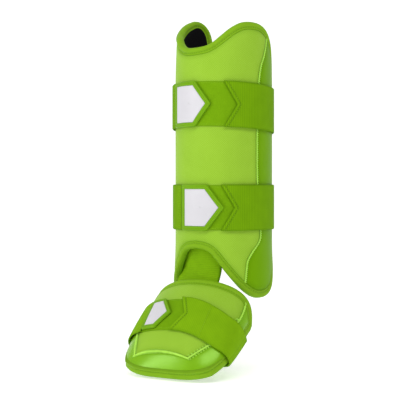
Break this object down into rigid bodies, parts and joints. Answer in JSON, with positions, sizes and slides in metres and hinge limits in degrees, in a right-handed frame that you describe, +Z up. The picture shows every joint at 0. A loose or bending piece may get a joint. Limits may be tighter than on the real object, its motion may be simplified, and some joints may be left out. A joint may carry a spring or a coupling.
{
  "type": "batter's leg guard",
  "caption": "Padded batter's leg guard as worn: a rigid-backed shin shell with elastic straps, and a foot pad hung below it on an elastic tongue.",
  "frame": {"origin": "on the shin's axis, midway between the middles of the two shin straps", "axes": "+Z up along the shin toward the knee, -Y forward the way the toe points, +X to the right as seen from in front of the guard"},
  "size_m": [0.1414, 0.1915, 0.4133],
  "materials": {
    "fabric": "fine woven green fabric over foam, matte",
    "coated": "smooth coated darker green fabric, satin",
    "toe": "glossy coated green fabric",
    "binding": "rolled woven edge binding, matte",
    "lining": "black knitted lining",
    "loop": "brushed loop fabric",
    "elastic": "finely ribbed woven elastic",
    "moulded": "soft moulded green rubber, satin",
    "white": "plain white inset, satin"
  },
  "bodies": {
    "root": {"shin_front_panel": "fabric", "shin_side_panel_right": "coated", "shin_side_panel_left": "coated", "shin_lining": "lining", "shin_binding": "binding", "upper_strap_landing": "loop", "upper_strap": "elastic", "upper_tab": "moulded", "upper_tab_inset": "white", "lower_strap_landing": "loop", "lower_strap": "elastic", "lower_tab": "moulded", "lower_tab_inset": "white", "ankle_tongue": "elastic", "foot_top_panel": "fabric", "foot_toe_cap": "toe", "foot_binding": "binding", "foot_strap_landing": "loop", "foot_strap": "elastic", "foot_tab": "moulded", "foot_tab_inset": "white"}
  },
  "joints": []
}
